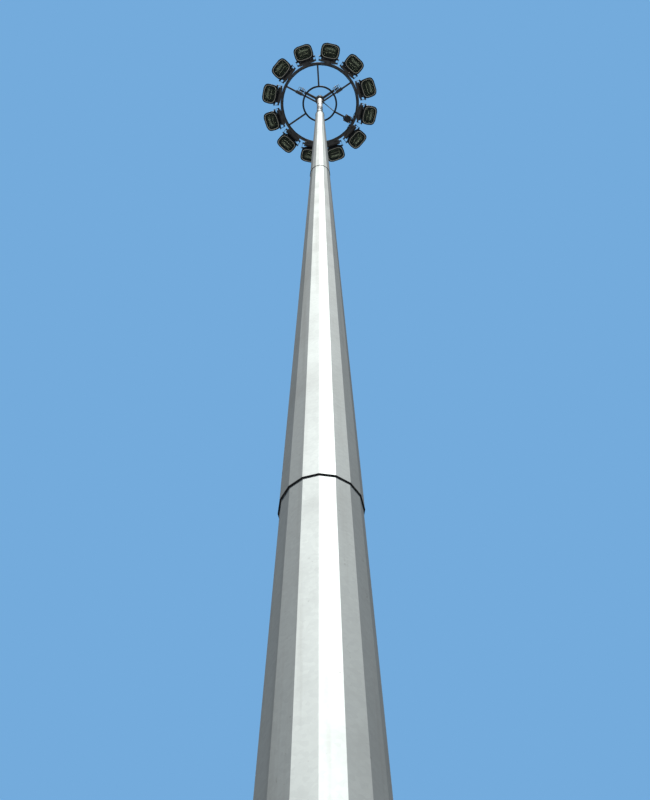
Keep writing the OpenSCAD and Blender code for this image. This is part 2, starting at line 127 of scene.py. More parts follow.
sunData = bpy.data.lights.new("softSun", "SUN")
sunData.energy = view["sunPower"]
sunData.angle = math.radians(9)     # a wide sun for soft edges
sunData.color = linear("#fffaf2")[:3]
sun = bpy.data.objects.new("softSun", sunData)
sun.rotation_euler = (math.radians(view["sunTilt"]), 0, math.radians(view["sunSide"]))
bpy.context.scene.collection.objects.link(sun)

# pale ground all round throws light up on the undersides
glowData = bpy.data.lights.new("groundGlow", "SUN")
glowData.energy = view["groundGlow"]
glowData.angle = math.radians(12)
glowData.use_shadow = False
glow = bpy.data.objects.new("groundGlow", glowData)
glow.rotation_euler = (math.pi, 0, 0)
bpy.context.scene.collection.objects.link(glow)

world = bpy.data.worlds.new("softSky")
world.use_nodes = True
seen = addNode(world.node_tree, "ShaderNodeLightPath").outputs["Is Camera Ray"]
power = addNode(world.node_tree, "ShaderNodeMapRange",
                {"Value": seen, "To Min": view["skyFill"], "To Max": view["skyPower"]})
backdrop = world.node_tree.nodes["Background"]
backdrop.inputs["Color"].default_value = linear(view["skyColour"])
world.node_tree.links.new(power.outputs["Result"], backdrop.inputs["Strength"])
bpy.context.scene.world = world
bpy.context.scene.view_settings.view_transform = "Standard"
print("view and light set")


def newMaterial(name, colour, roughness, metallic=0.0, **sockets):
    material = bpy.data.materials.new(name)
    material.use_nodes = True
    shader = material.node_tree.nodes["Principled BSDF"]
    shader.inputs["Base Color"].default_value = linear(colour)
    shader.inputs["Roughness"].default_value = roughness
    shader.inputs["Metallic"].default_value = metallic
    for socket, value in sockets.items():
        shader.inputs[socket.replace("_", " ")].default_value = value
    return material


def placedAt(tree, scale):
    coordinates = addNode(tree, "ShaderNodeTexCoord")
    return addNode(tree, "ShaderNodeMapping",
                   {"Vector": coordinates.outputs["Object"], "Scale": scale}).outputs["Vector"]


def patterned(material, layers, roughness=None, bump=None):
    # layers are (texture, low, high, colour, strength), painted one over another
    tree = material.node_tree
    shader = tree.nodes["Principled BSDF"]
    colour = None
    for texture, low, high, hexColour, strength in layers:
        share = addNode(tree, "ShaderNodeMapRange",
                        {"Value": texture, "From Min": low, "From Max": high, "To Max": strength})
        mix = addNode(tree, "ShaderNodeMix", data_type="RGBA")
        tree.links.new(share.outputs["Result"], mix.inputs["Factor"])
        if colour:
            tree.links.new(colour, mix.inputs[6])
        else:
            mix.inputs[6].default_value = shader.inputs["Base Color"].default_value
        mix.inputs[7].default_value = linear(hexColour)
        colour = mix.outputs[2]
    tree.links.new(colour, shader.inputs["Base Color"])
    if roughness:
        texture, low, high = roughness
        spread = addNode(tree, "ShaderNodeMapRange", {"Value": texture, "To Min": low, "To Max": high})
        tree.links.new(spread.outputs["Result"], shader.inputs["Roughness"])
    if bump:
        texture, depth, strength = bump
        bumped = addNode(tree, "ShaderNodeBump",
                         {"Height": texture, "Distance": depth, "Strength": strength})
        tree.links.new(bumped.outputs["Normal"], shader.inputs["Normal"])
    return material


def noiseAt(material, size, detail=4, stretch=(1, 1, 1), roughness=0.55):
    # size is the blotch size in metres
    tree = material.node_tree
    spot = placedAt(tree, [1 / (size * s) for s in stretch])
    return addNode(tree, "ShaderNodeTexNoise", {"Vector": spot, "Scale": 1.0, "Detail": detail,
                                                "Roughness": roughness}).outputs["Fac"]


def galvanised(name, colour, spangle=0.022):
    # hot-dip galvanised steel gone matt: crystals about 20 mm wide, streaks and scuffs down the facets
    zinc = newMaterial(name, colour, 0.5, 0.8)
    tree = zinc.node_tree
    spot = placedAt(tree, [1 / spangle] * 3)
    crystals = addNode(tree, "ShaderNodeTexVoronoi", {"Vector": spot, "Scale": 1.0}).outputs["Color"]
    blotch = noiseAt(zinc, 0.5)
    streak = noiseAt(zinc, 0.09, 5, (1, 1, 34))
    scuff = noiseAt(zinc, 0.035, 3, (1, 1, 2.2), 0.75)
    return patterned(zinc, [
        (crystals, 0.0, 1.0, "#aeb6bd", 0.16),
        (blotch, 0.45, 0.75, "#bfc4c6", 0.35),
        (streak, 0.52, 0.75, "#a7a9a6", 0.32),
        (scuff, 0.68, 0.80, "#77786f", 0.5),
    ], (blotch, 0.62, 0.72), (crystals, 0.0004, 0.12))


def painted(name, colour, edge, dust, roughness=0.5, grain=0.0015):
    # paint over steel: an orange-peel skin, dust on it and dull patches
    paint = newMaterial(name, colour, roughness)
    patch = noiseAt(paint, 0.12)
    dirt = noiseAt(paint, 0.03, 6, (1, 1, 4))
    peel = noiseAt(paint, grain * 4, 2)
    return patterned(paint, [(patch, 0.4, 0.75, edge, 0.5), (dirt, 0.58, 0.8, dust, 0.35)],
                     (patch, roughness - 0.1, roughness + 0.14), (peel, 0.0003, 0.2))


mastZinc = galvanised("weatheredZinc", "#e6eff1")           # pale, matt, faint crystals and streaks
doorZinc = galvanised("doorZinc", "#dfe3e5", 0.016)         # the leaf's thinner sheet has finer crystals
flangeZinc = galvanised("plateZinc", "#cfd4d7", 0.03)       # thick plate: duller, coarser crystals
spigotPaint = galvanised("paleZinc", "#f8fbfb", 0.03)       # nearly white zinc-rich coat on the head tube
framePaint = painted("darkFramePaint", "#1a1d20", "#121517", "#3b3c39", 0.5)     # satin with dusty ledges
gearPaint = painted("texturedBlackPaint", "#17191b", "#101214", "#3a3a37", 0.62, 0.003)  # dull, pebbly
castPaint = painted("blackCastCoat", "#16181a", "#0f1112", "#353632", 0.48, 0.002)  # fine powder coat
collarShadeTeal = painted("collarShadeTeal", "#4f7f8e", "#436f7d", "#6f8288", 0.5)    # teal-grey darkened as painted shade: the line under the head tube
boltZinc = newMaterial("boltZinc", "#c3c7c9", 0.38, 0.85)   # bright plated steel that catches the sun
stainless = newMaterial("brushedStainless", "#c9cbcb", 0.3, 1.0)    # the sharpest glints
sheaveIron = painted("greasedIron", "#3a3d3f", "#24262a", "#5b5850", 0.38)      # dark, shiny with grease
lipMetal = newMaterial("bezelEnamel", "#fff8e0", 0.5)       # warm pale strip round the glass
reflectorMetal = newMaterial("hammeredReflector", "#8d9187", 0.42, 0.7)  # dull, so the bowl reads grey-green
sheath = newMaterial("blackSheath", "#101113", 0.55)        # rubber cable, a little dusty
gapShadowBead = newMaterial("jointMastic", "#141516", 0.85)        # matt near-black bead, painted shadow of the slip-joint gap
glaze = newMaterial("toughenedGlass", "#9aa195", 0.05, Transmission_Weight=1.0, IOR=1.5)  # green-grey pane
tube = newMaterial("arcTube", "#d8d8cc", 0.25)              # frosted quartz
ceramic = newMaterial("lampHolderCeramic", "#c9c4b4", 0.6)  # unglazed, cream
for metal, size in ((boltZinc, 0.012), (stainless, 0.006)):
    wear = noiseAt(metal, size)
    patterned(metal, [(wear, 0.4, 0.8, "#8f9392", 0.5)], (wear, 0.28, 0.5))
for dull, size, light in ((lipMetal, 0.05, "#dcd5bc"), (reflectorMetal, 0.02, "#6c7066"),
                          (sheath, 0.02, "#2a2b2c"), (gapShadowBead, 0.015, "#26272a"),
                          (tube, 0.03, "#b9b9aa"), (ceramic, 0.01, "#a39d8a")):
    blotch = noiseAt(dull, size)
    patterned(dull, [(blotch, 0.4, 0.8, light, 0.5)], bump=(blotch, 0.0006, 0.3))
wireRope = newMaterial("laidWireRope", "#7f8386", 0.42, 0.8)    # oiled dark in the valleys
grease = noiseAt(wireRope, 0.02)
patterned(wireRope, [(grease, 0.35, 0.7, "#35373a", 0.7)], (grease, 0.35, 0.6))
floorPaint = newMaterial("paleConcrete", view["floorColour"], 0.9)    # broom-finished, nearly even
grit = noiseAt(floorPaint, 0.05)
patterned(floorPaint, [(grit, 0.3, 0.8, "#b5b7b6", 0.4)], bump=(grit, 0.001, 0.2))
bySlot = {
    "galvanised": mastZinc, "galvanised_dark": flangeZinc, "spigot_white": spigotPaint,
    "carriage_steel": framePaint, "gear_paint": gearPaint, "fittings": boltZinc,
    "sheave_iron": sheaveIron, "wire_rope": wireRope, "cable_sheath": sheath,
    "housing_cast": castPaint, "lamp_glass": glaze,
}
for row in frame["record"]["subparts"]:
    mesh = nodes[row["node"]].data
    mesh.materials.clear()
    mesh.materials.append(bySlot[row["material_slot"]])
for name in ("base_flange", "base_gussets"):
    nodes[name].data.materials[0] = flangeZinc
for name in ("access_door", "door_frame"):
    nodes[name].data.materials[0] = doorZinc
print("materials made")


def kept(piece, body, replaces=()):
    if body:
        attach(piece, body)
    if replaces:
        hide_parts(*replaces)
    return piece


def finished(name, bm, body, slot, material=None, smooth=False, sharp=None, replaces=()):
    # wears its slot's material unless another is given
    mesh = bpy.data.meshes.new(name)
    bmesh.ops.recalc_face_normals(bm, faces=bm.faces)
    for face in bm.faces:
        face.smooth = smooth
    bm.to_mesh(mesh)
    bm.free()
    if sharp:
        mesh.set_sharp_from_angle(angle=math.radians(sharp))
    mesh.materials.append(material or bySlot[slot])
    piece = bpy.data.objects.new(name, mesh)
    bpy.context.scene.collection.objects.link(piece)
    return kept(piece, body, replaces)


def bevelled(piece, width):
    edge = piece.modifiers.new("edge", "BEVEL")
    edge.width = width
    edge.segments = 2
    edge.limit_method = "ANGLE"
    edge.angle_limit = math.radians(35)
    return piece


def addBox(bm, low, high, place=Matrix()):
    corners = [place @ Vector((x, y, z)) for x in (low[0], high[0]) for y in (low[1], high[1])
               for z in (low[2], high[2])]
    v = [bm.verts.new(c) for c in corners]
    for ids in ((0, 1, 3, 2), (4, 6, 7, 5), (0, 4, 5, 1), (2, 3, 7, 6), (0, 2, 6, 4), (1, 5, 7, 3)):
        bm.faces.new([v[i] for i in ids])


def addTurned(bm, profile, place=Matrix(), sides=24, closed=False):
    # profile is (radius, height) pairs turned round Z
    rows = []
    for radius, height in profile:
        if radius < 1e-6:
            rows.append([bm.verts.new(place @ Vector((0, 0, height)))])
            continue
        rows.append([bm.verts.new(place @ Vector((radius * math.cos(a), radius * math.sin(a), height)))
                     for a in (2 * math.pi * k / sides for k in range(sides))])
    pairs = list(zip(rows, rows[1:])) + ([(rows[-1], rows[0])] if closed else [])
    for low, high in pairs:
        for k in range(sides):
            n = (k + 1) % sides
            ring = [low[k % len(low)], low[n % len(low)], high[n % len(high)], high[k % len(high)]]
            corners = []
            for vert in ring:
                if vert not in corners:
                    corners.append(vert)
            if len(corners) > 2:
                bm.faces.new(corners)


def addDisc(bm, radius, low, high, place=Matrix(), sides=20):
    addTurned(bm, [(0, low), (radius, low), (radius, high), (0, high)], place, sides)


def addRing(bm, radius, outline, place):
    # a closed section turned round Z, its corners given as (out, up) from the radius
    addTurned(bm, [(radius + x, z) for x, z in outline], place, 64, closed=True)


def addPlate(bm, outline, thick, place=Matrix()):
    # a flat plate from its (x, z) outline, half its thickness to each side
    faces = [[bm.verts.new(place @ Vector((x, y, z))) for x, z in outline] for y in (-thick / 2, thick / 2)]
    bm.faces.new(faces[0])
    bm.faces.new(faces[1][::-1])
    for a in range(len(outline)):
        b = (a + 1) % len(outline)
        bm.faces.new([faces[0][b], faces[0][a], faces[1][a], faces[1][b]])


def circle(radius, z, steps):
    return [(radius * math.cos(a), radius * math.sin(a), z)
            for a in (2 * math.pi * i / steps for i in range(steps + 1))]


def addHex(bm, across, height, place=Matrix()):
    r = across / 2 / math.cos(math.pi / 6)
    addTurned(bm, [(0, 0), (r * 0.93, 0), (r, height * 0.1), (r, height * 0.88), (r * 0.9, height),
                   (0, height)], place, 6)


def addTube(bm, path, radius, sides=8):
    points = [Vector(p) for p in path]
    rows = []
    side = None
    for k, point in enumerate(points):
        along = (points[min(k + 1, len(points) - 1)] - points[max(k - 1, 0)]).normalized()
        if side is None:
            side = along.orthogonal().normalized()
        side = (side - along * side.dot(along)).normalized()
        up = along.cross(side)
        rows.append([bm.verts.new(point + radius * (side * math.cos(a) + up * math.sin(a)))
                     for a in (2 * math.pi * s / sides for s in range(sides))])
    for low, high in zip(rows, rows[1:]):
        for s in range(sides):
            bm.faces.new([low[s], low[(s + 1) % sides], high[(s + 1) % sides], high[s]])
    bm.faces.new(rows[0][::-1])
    bm.faces.new(rows[-1])


def curved(points, steps=8):
    # a smooth path through given points
    p = [Vector(q) for q in points]
    p = [2 * p[0] - p[1]] + p + [2 * p[-1] - p[-2]]
    path = []
    for a, b, c, d in zip(p, p[1:], p[2:], p[3:]):
        for k in range(steps):
            t = k / steps
            path.append(0.5 * (2 * b + (c - a) * t + (2 * a - 5 * b + 4 * c - d) * t * t
                               + (3 * b - a - 3 * c + d) * t ** 3))
    path.append(p[-2])
    return path


def turned(angle, radius=0.0, height=0.0):
    return spin(angle) @ shift(radius, 0, height)


facingX = spin(math.pi / 2, "Y")    # turns Z to face +X
facingDown = spin(math.pi, "X")


def newTree(name, inputs):
    tree = bpy.data.node_groups.new(name, "GeometryNodeTree")
    tree.interface.new_socket("Geometry", in_out="OUTPUT", socket_type="NodeSocketGeometry")
    tree.interface.new_socket("Geometry", in_out="INPUT", socket_type="NodeSocketGeometry")
    for label, kind in inputs:
        tree.interface.new_socket(label, in_out="INPUT", socket_type="NodeSocket" + kind)
    return tree, tree.nodes.new("NodeGroupInput").outputs, tree.nodes.new("NodeGroupOutput").inputs


def mathOf(tree, kind, a, b):
    node = addNode(tree, "ShaderNodeMath", operation=kind)
    for socket, value in zip(node.inputs, (a, b)):
        if isinstance(value, bpy.types.NodeSocket):
            tree.links.new(value, socket)
        else:
            socket.default_value = value
    return node.outputs[0]


def copiesAt(tree, given, spot, **turn):
    line = addNode(tree, "GeometryNodeMeshLine", {"Count": given["Count"], "Offset": (0, 0, 0)})
    placed = addNode(tree, "GeometryNodeSetPosition",
                     {"Geometry": line.outputs[0], "Position": spot.outputs[0]})
    thing = addNode(tree, "GeometryNodeObjectInfo", {"Object": given["Thing"]})
    return addNode(tree, "GeometryNodeInstanceOnPoints",
                   {"Points": placed.outputs[0], "Instance": thing.outputs["Geometry"], **turn}).outputs[0]


def endTree(tree, given, result, geometry):
    # every tree ends as real geometry with its finish on
    real = addNode(tree, "GeometryNodeRealizeInstances", {"Geometry": geometry})
    coated = addNode(tree, "GeometryNodeSetMaterial",
                     {"Geometry": real.outputs[0], "Material": given["Finish"]})
    tree.links.new(coated.outputs[0], result["Geometry"])
    return tree


def makeRingTree():
    # copies of one thing round a circle, each turned to face outwards
    tree, given, result = newTree("ringOfThings", [
        ("Count", "Int"), ("Radius", "Float"), ("Height", "Float"), ("Turn", "Float"),
        ("Thing", "Object"), ("Finish", "Material")])
    step = mathOf(tree, "DIVIDE", 2 * math.pi, given["Count"])
    index = addNode(tree, "GeometryNodeInputIndex").outputs[0]
    angle = mathOf(tree, "ADD", mathOf(tree, "MULTIPLY", index, step), given["Turn"])
    x = mathOf(tree, "MULTIPLY", mathOf(tree, "COSINE", angle, 0), given["Radius"])
    y = mathOf(tree, "MULTIPLY", mathOf(tree, "SINE", angle, 0), given["Radius"])
    spot = addNode(tree, "ShaderNodeCombineXYZ", {"X": x, "Y": y, "Z": given["Height"]})
    turn = addNode(tree, "ShaderNodeCombineXYZ", {"Z": angle})
    facingOut = addNode(tree, "FunctionNodeEulerToRotation", {"Euler": turn.outputs[0]})
    return endTree(tree, given, result, copiesAt(tree, given, spot, Rotation=facingOut.outputs[0]))


def makeFinTree():
    # cooling fins side by side
    tree, given, result = newTree("finRow", [
        ("Count", "Int"), ("Spacing", "Float"), ("Thing", "Object"), ("Finish", "Material")])
    index = addNode(tree, "GeometryNodeInputIndex").outputs[0]
    middle = mathOf(tree, "DIVIDE", mathOf(tree, "SUBTRACT", given["Count"], 1), 2)
    y = mathOf(tree, "MULTIPLY", mathOf(tree, "SUBTRACT", index, middle), given["Spacing"])
    spot = addNode(tree, "ShaderNodeCombineXYZ", {"Y": y})
    return endTree(tree, given, result, copiesAt(tree, given, spot))


def makeRopeTree():
    # strands wound round the host curve: a lobed section that twists once every lay
    tree, given, result = newTree("laidRope", [
        ("Radius", "Float"), ("Strands", "Int"), ("Lay", "Float"), ("Step", "Float"),
        ("Finish", "Material")])
    path = addNode(tree, "GeometryNodeResampleCurve",
                   {"Curve": given["Geometry"], "Length": given["Step"]}, mode="LENGTH")
    along = addNode(tree, "GeometryNodeSplineParameter").outputs["Length"]
    twist = mathOf(tree, "MULTIPLY", mathOf(tree, "DIVIDE", along, given["Lay"]), 2 * math.pi)
    wound = addNode(tree, "GeometryNodeSetCurveTilt", {"Curve": path.outputs[0], "Tilt": twist})
    sides = mathOf(tree, "MULTIPLY", given["Strands"], 4)
    section = addNode(tree, "GeometryNodeCurvePrimitiveCircle",
                      {"Resolution": sides, "Radius": given["Radius"]})
    index = addNode(tree, "GeometryNodeInputIndex").outputs[0]
    lobe = mathOf(tree, "COSINE", mathOf(tree, "MULTIPLY", index, math.pi / 2), 0)
    swell = mathOf(tree, "ADD", mathOf(tree, "MULTIPLY", lobe, 0.1), 0.9)
    at = addNode(tree, "GeometryNodeInputPosition").outputs[0]
    lobed = addNode(tree, "ShaderNodeVectorMath", {"Scale": swell}, operation="SCALE")
    tree.links.new(at, lobed.inputs[0])
    shaped = addNode(tree, "GeometryNodeSetPosition",
                     {"Geometry": section.outputs[0], "Position": lobed.outputs[0]})
    swept = addNode(tree, "GeometryNodeCurveToMesh",
                    {"Curve": wound.outputs[0], "Profile Curve": shaped.outputs[0], "Fill Caps": True})
    return endTree(tree, given, result, swept.outputs[0])


ringTree, finTree, ropeTree = makeRingTree(), makeFinTree(), makeRopeTree()


def grown(name, tree, values, host=None, blank=None, place=None):
    # runs a tree once and keeps the result as a plain mesh
    thing = None
    if host is None:
        host = bpy.data.objects.new(name + "Host", bpy.data.meshes.new(name + "Host"))
    bpy.context.scene.collection.objects.link(host)
    if blank is not None:
        blankMesh = bpy.data.meshes.new(name + "Blank")
        bmesh.ops.recalc_face_normals(blank, faces=blank.faces)
        blank.to_mesh(blankMesh)
        blank.free()
        thing = bpy.data.objects.new(name + "Blank", blankMesh)
        bpy.context.scene.collection.objects.link(thing)
        values = dict(values, Thing=thing)
    modifier = host.modifiers.new("tree", "NODES")
    modifier.node_group = tree
    for item in tree.interface.items_tree:
        if item.in_out == "INPUT" and item.name in values:
            modifier[item.identifier] = values[item.name]
    graph = bpy.context.evaluated_depsgraph_get()
    mesh = bpy.data.meshes.new_from_object(host.evaluated_get(graph), depsgraph=graph)
    mesh.name = name
    host.modifiers.clear()
    for spent in filter(None, (host, thing)):
        bpy.data.objects.remove(spent)
    if place is not None:
        mesh.transform(place)
    piece = bpy.data.objects.new(name, mesh)
    bpy.context.scene.collection.objects.link(piece)
    return piece


def ringOf(name, blank, body, slot, count, radius, height, turn):
    # one small thing repeated round the mast, in its slot's material
    values = {"Count": count, "Radius": radius, "Height": height, "Turn": turn, "Finish": bySlot[slot]}
    return kept(grown(name, ringTree, values, blank=blank), body)


mast = {
    "sides": 16,
    "seamAngles": (11.25, -168.75),     # long welds, on the middle of two facets
    "seamWidth": 0.014,
    "seamStand": 0.0018,
    "seamGap": 0.02,                    # bare steel at each end of a seam
    "beadDrop": 0.010,                  # dark bead under each sleeve, painted shadow of the joint gap
    "beadStand": 0.004,
    "footBead": 0.009,
}
facet = 2 * math.pi / mast["sides"]


def acrossFlats(section, end):
    # across flats of a mast section's outside at its low (0) or high (1) end
    low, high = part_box(section)
    z = (low.z, high.z)[end]
    r = max(math.hypot(v.co.x, v.co.y) for v in nodes[section].data.vertices if abs(v.co.z - z) < 1e-3)
    return 2 * r * math.cos(facet / 2), z


sections = [[acrossFlats("mast_section_%d" % k, end) for end in (0, 1)] for k in (1, 2, 3)]


def halfAt(k, z):
    (lowAf, lowZ), (highAf, highZ) = sections[k]
    return (lowAf + (highAf - lowAf) * (z - lowZ) / (highZ - lowZ)) / 2


bm = bmesh.new()
tops = [sections[1][0][1], sections[2][0][1], sections[2][1][1]]
for k, (lowAf, lowZ) in enumerate(s[0] for s in sections):
    for degrees in mast["seamAngles"]:
        turn = spin(math.radians(degrees))
        rows = []
        for z in (lowZ + mast["seamGap"], tops[k] - mast["seamGap"]):
            r = halfAt(k, z)
            w = mast["seamWidth"] / 2
            rows.append([bm.verts.new(turn @ Vector((r + stand, w * side, z))) for stand, side in
                         ((-0.001, -1), (mast["seamStand"] * 0.7, -0.6), (mast["seamStand"], 0),
                          (mast["seamStand"] * 0.7, 0.6), (-0.001, 1))])
        for a, b in zip(range(5), (1, 2, 3, 4, 0)):
            bm.faces.new([rows[0][a], rows[0][b], rows[1][b], rows[1][a]])
        bm.faces.new(rows[0])
        bm.faces.new(rows[1][::-1])
finished("seamWelds", bm, "mast", "galvanised")

# black bead under each sleeve, a painted shadow standing in for the shaded slip-joint gap, fuller towards -X
bm = bmesh.new()
for k in (1, 2):
    af, z = sections[k][0]
    outer, inner = af / 2 / math.cos(facet / 2), halfAt(k - 1, z) / math.cos(facet / 2)
    rows = []
    for i in range(mast["sides"]):
        a = -math.pi / 2 + i * facet
        full = 0.55 + 0.45 * max(0, -math.cos(a)) + 0.1 * math.sin(3 * a)
        drop = mast["beadDrop"] * full * (1 if k == 1 else 0.6)
        ray = Vector((math.cos(a), math.sin(a), 0))
        rows.append([bm.verts.new(ray * r + Vector((0, 0, h))) for r, h in (
            (inner - 0.001, z - drop * 1.2), (inner + 0.002, z - drop * 1.25),
            (outer - 0.001, z - drop), (outer + mast["beadStand"] * full, z - drop * 0.4),
            (outer + 0.0008, z + 0.001), (inner - 0.001, z + 0.001))])
    for a, b in zip(rows, rows[1:] + rows[:1]):
        for i in range(6):
            bm.faces.new([a[i], b[i], b[(i + 1) % 6], a[(i + 1) % 6]])
finished("jointMastic", bm, "mast", "cable_sheath", gapShadowBead)

# weld round the foot of the mast
bm = bmesh.new()
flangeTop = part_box("base_flange")[1].z
r = sections[0][0][0] / 2 / math.cos(facet / 2) + 0.004
addTube(bm, circle(r, flangeTop + 0.004, 2 * mast["sides"]), mast["footBead"], 6)
finished("footWeld", bm, "mast", "galvanised", flangeZinc, smooth=True)
print("mast welds and mastic done")


base = {
    "studs": 16,
    "pitchRadius": frame["record"]["mounts"][1]["dims"]["pcd_mm"] / 2000,
    "stud": 0.036,              # M36
    "stickOut": 0.105,
    "sunk": 0.02,               # start of the thread below the flange's top
    "washer": 0.066,
    "washerThick": 0.005,
    "nutAcross": 0.055,
    "nutHeight": 0.029,
    "lockNut": 0.6,             # upper nut's height against the lower's
    "lockNutTurn": 0.4,
    "threadPitch": 0.006,       # thread drawn 1.5 times coarse so it shows
    "threadDepth": 0.0025,
    "chamfer": 0.004,
    "earthAngle": -33.75,
    "earthHeight": 0.42,
    "lockAngle": -78.75,
    "lockShares": (0.32, 0.68),     # up the door frame
}
bm = bmesh.new()
nutFoot = base["washerThick"]
addDisc(bm, base["washer"] / 2, 0, nutFoot)
addHex(bm, base["nutAcross"], base["nutHeight"], shift(0, 0, nutFoot))
addHex(bm, base["nutAcross"], base["nutHeight"] * base["lockNut"],
       shift(0, 0, nutFoot + base["nutHeight"]) @ spin(base["lockNutTurn"]))
z = -base["sunk"]
thread = [(0, z)]
while z < base["stickOut"] - base["threadPitch"]:
    thread += [(base["stud"] / 2, z), (base["stud"] / 2 - base["threadDepth"], z + base["threadPitch"] / 2)]
    z += base["threadPitch"]
thread += [(base["stud"] / 2 - base["chamfer"], base["stickOut"]), (0, base["stickOut"])]
addTurned(bm, thread, sides=14)
ringOf("anchorStuds", bm, "mast", "fittings", base["studs"], base["pitchRadius"], flangeTop, 0.0)

# earthing boss beside the door, with its bolt
doorLow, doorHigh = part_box("door_frame")
bm = bmesh.new()
z = base["earthHeight"]
boss = turned(math.radians(base["earthAngle"]), halfAt(0, z), z) @ facingX
addDisc(bm, 0.02, -0.004, 0.012, boss)
addHex(bm, 0.019, 0.009, boss @ shift(0, 0, 0.012))
finished("earthBoss", bm, "mast", "fittings")

# lock faces: a plain three-cornered key seat in each lock
bm = bmesh.new()
for share in base["lockShares"]:
    z = doorLow.z + (doorHigh.z - doorLow.z) * share
    seat = spin(math.radians(base["lockAngle"])) @ shift(halfAt(0, z) + 0.0165, -0.12, z)
    addTurned(bm, [(0, -0.004), (0.011, -0.004), (0.011, 0.002), (0.006, 0.0025), (0, -0.001)],
              seat @ facingX, 3)
finished("lockSeats", bm, "mast", "fittings", stainless)
print("base done")


head = {
    "lidScrews": 12,
    "lidScrewTurn": 0.26,
    "lidScrewDrop": 0.016,      # below the drum's top
    "screwAcross": 0.016,
    "collarScrews": 6,
    "collarScrewAcross": 0.024,
    "collarScrewRise": 0.32,    # above the collar's plate
    "bandRise": (0.040, 0.270),
    "ropeRadius": 0.005,
    "ropeStep": 0.006,          # between sections along a rope
    "strands": 6,
    "lay": 0.065,
    "guardRadius": 0.007,
    "guardGap": 0.012,          # keeper rod's clearance from the sheave
    "guardAngle": math.radians(50),
    "pinAcross": 0.036,
    "cageBoltAcross": 0.016,
    "cageBoltsIn": (0.018, 0.185),  # from the arm's end
    "webHalf": 0.04,
    "gussetStart": 0.045,       # above and below the arm's middle
    "gussetHeight": 0.04,
    "gussetReach": 0.12,
    "gussetThick": 0.008,
    "hubBolts": 6,
    "padRadii": (0.20, 0.40),   # docking buffers from the mast's middle
}
drumLow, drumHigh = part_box("head_drum")
drumRadius = (drumHigh.x - drumLow.x) / 2
armAngles = [spokeTurn + math.radians(60 + 120 * k) for k in range(armCount)]
sheaveSpots = [Vector(joints["sheave_%d_turn" % (k + 1)]["pos_m"]) for k in range(armCount)]
sheaveX = math.hypot(sheaveSpots[0].x, sheaveSpots[0].y)
armZ = sheaveSpots[0].z
sheaveRadius = (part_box("head_sheave_1")[1].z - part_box("head_sheave_1")[0].z) / 2
cageLow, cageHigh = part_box("head_arm_1")          # the arm along +Y
cageWidth = cageHigh.x - cageLow.x
armReach = cageHigh.y
arms = [turned(angle, 0, armZ) for angle in armAngles]
ropeLow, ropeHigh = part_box("hoist_ropes")
ropeX = ropeHigh.y - head["ropeRadius"]           # the rope on the arm along +Y

bm = bmesh.new()
lid = shift(0, 0, drumHigh.z)
addTurned(bm, [(0, 0.001), (drumRadius + 0.005, 0.001), (drumRadius + 0.006, 0.003),
               (drumRadius + 0.003, 0.008), (drumRadius * 0.7, 0.018), (0.03, 0.026), (0, 0.027)], lid, 64)
addRing(bm, drumRadius, [(-0.002, -0.03), (0.006, -0.03), (0.006, -0.002), (-0.002, -0.002)], lid)
finished("drumLid", bm, "mast", "carriage_steel")

bm = bmesh.new()
addHex(bm, head["screwAcross"], 0.009, facingX)
addDisc(bm, 0.0125, 0, 0.002, facingX, 14)
ringOf("lidScrews", bm, "mast", "fittings", head["lidScrews"], drumRadius + 0.005,
       drumHigh.z - head["lidScrewDrop"], head["lidScrewTurn"])

collarLow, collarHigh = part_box("spigot_collar")
socketRadius = (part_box("mast_spigot")[1].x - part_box("mast_spigot")[0].x) / 2 + 0.013
bm = bmesh.new()
addHex(bm, head["collarScrewAcross"], 0.014, facingX)
ringOf("collarScrews", bm, "mast", "fittings", head["collarScrews"], socketRadius - 0.001,
       collarLow.z + head["collarScrewRise"], 0.0)

# weld beads that close the collar to the mast and to the spigot
bm = bmesh.new()
for radius, z, thick in ((socketRadius - 0.011, collarHigh.z, 0.005),
                         (socketRadius + 0.001, collarLow.z + 0.027, 0.006)):
    addTube(bm, circle(radius, z, 48), thick, 6)
finished("collarWelds", bm, "mast", "spigot_white", smooth=True)

# teal lip under the collar plate and a band round the foot of the socket, both painted shade for the plate's
# shaded underside
bm = bmesh.new()
lipIn = sections[2][1][0] / 2 + 0.0045
collarFoot = shift(0, 0, collarLow.z)
addRing(bm, lipIn, [(0, -0.012), (0.005, -0.012), (0.007, -0.009), (0.007, -0.001), (0, -0.001)],
        collarFoot)
bandLow, bandHigh = head["bandRise"]
addRing(bm, socketRadius, [(-0.001, bandLow), (0.003, bandLow), (0.003, bandHigh), (-0.001, bandHigh)],
        collarFoot)
finished("collarLip", bm, "mast", "spigot_white", collarShadeTeal)

# pin heads and corner bolts on the cages
bm = bmesh.new()
for arm in arms:
    for side in (-1, 1):
        across = arm @ shift(sheaveX, side * (cageWidth / 2 + 0.012), 0) @ sideways(side)
        addHex(bm, head["pinAcross"], 0.014, across)
        addDisc(bm, 0.026, -0.012, -0.008, across)
        for x in (armReach - back for back in head["cageBoltsIn"]):
            for z in (-0.03, 0.03):
                bolt = arm @ shift(x, side * cageWidth / 2, z) @ sideways(side)
                addHex(bm, head["cageBoltAcross"], 0.008, bolt)
finished("cageBolts", bm, "mast", "fittings")

